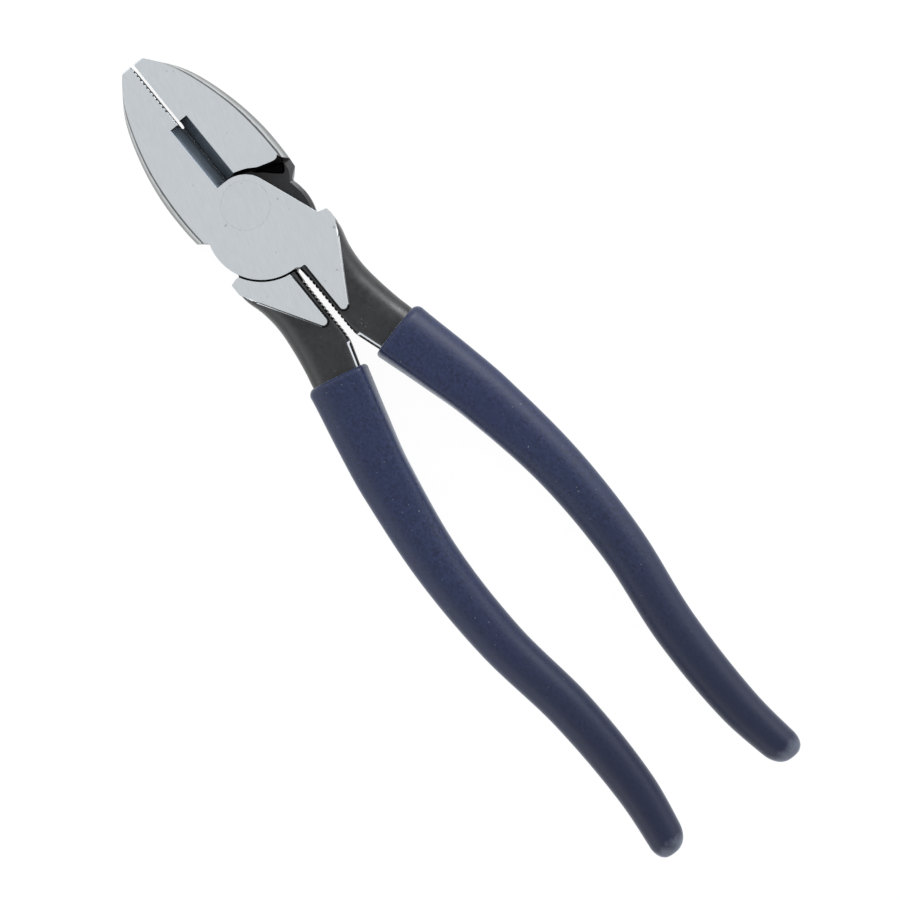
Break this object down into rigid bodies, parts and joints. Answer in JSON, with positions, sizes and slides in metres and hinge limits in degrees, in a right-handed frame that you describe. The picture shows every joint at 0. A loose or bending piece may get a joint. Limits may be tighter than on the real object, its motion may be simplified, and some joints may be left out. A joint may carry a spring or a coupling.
{
  "type": "lineman pliers",
  "caption": "Side-cutting combination pliers with flat grooved jaws, long knives, a riveted lap joint and dipped vinyl grips.",
  "frame": {"origin": "on the rivet's axis at the head's rear flat face, where the head rests", "axes": "+Y along the tool towards the jaw tips, +X to the right seen from the front, +Z out of the front face"},
  "size_m": [0.0514, 0.2351, 0.016],
  "materials": {
    "steel": "satin ground faces, black oxide in the recesses and on the handles' necks",
    "rivet": "satin, ground flush with the joint's faces",
    "vinyl": "soft satin navy vinyl, dip moulded"
  },
  "bodies": {
    "front_half": {"front_forging": "steel", "pivot_rivet": "rivet", "front_grip": "vinyl"},
    "rear_half": {"rear_forging": "steel", "rear_grip": "vinyl"}
  },
  "joints": [
    {"name": "jaw_pivot", "type": "hinge", "parent": "front_half", "child": "rear_half", "pos_m": [0, 0, 0.008], "axis": [0, 0, -1], "range_deg": [0, 50]}
  ]
}
